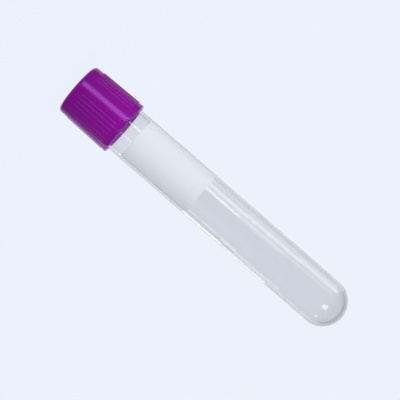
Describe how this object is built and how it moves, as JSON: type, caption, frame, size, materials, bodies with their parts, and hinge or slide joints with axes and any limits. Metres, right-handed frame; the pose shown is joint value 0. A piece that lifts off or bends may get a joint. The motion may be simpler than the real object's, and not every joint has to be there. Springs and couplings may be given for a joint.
{
  "type": "blood collection tube",
  "caption": "Clear round-bottomed blood collection tube with a ribbed purple cap, a rubber stopper and a blank white label.",
  "frame": {"origin": "centre of the cap's flat top face, on which the part stands", "axes": "+Z runs along the tube's axis from the cap's top to the tip of the round end; the middle of the label faces -Y"},
  "size_m": [0.0182, 0.0182, 0.1064],
  "materials": {
    "cap_plastic": "satin gloss, moulded",
    "stopper_rubber": "smooth moulded butyl rubber",
    "clear_tube": "polished, clear",
    "label_paper": "coated paper, blank"
  },
  "bodies": {
    "closure": {"cap": "cap_plastic", "stopper": "stopper_rubber"},
    "barrel": {"tube": "clear_tube", "label": "label_paper"}
  },
  "joints": [
    {"name": "tube_pull", "type": "slide", "parent": "closure", "child": "barrel", "axis": [0, 0, 1], "range_m": [0, 0.025]}
  ]
}
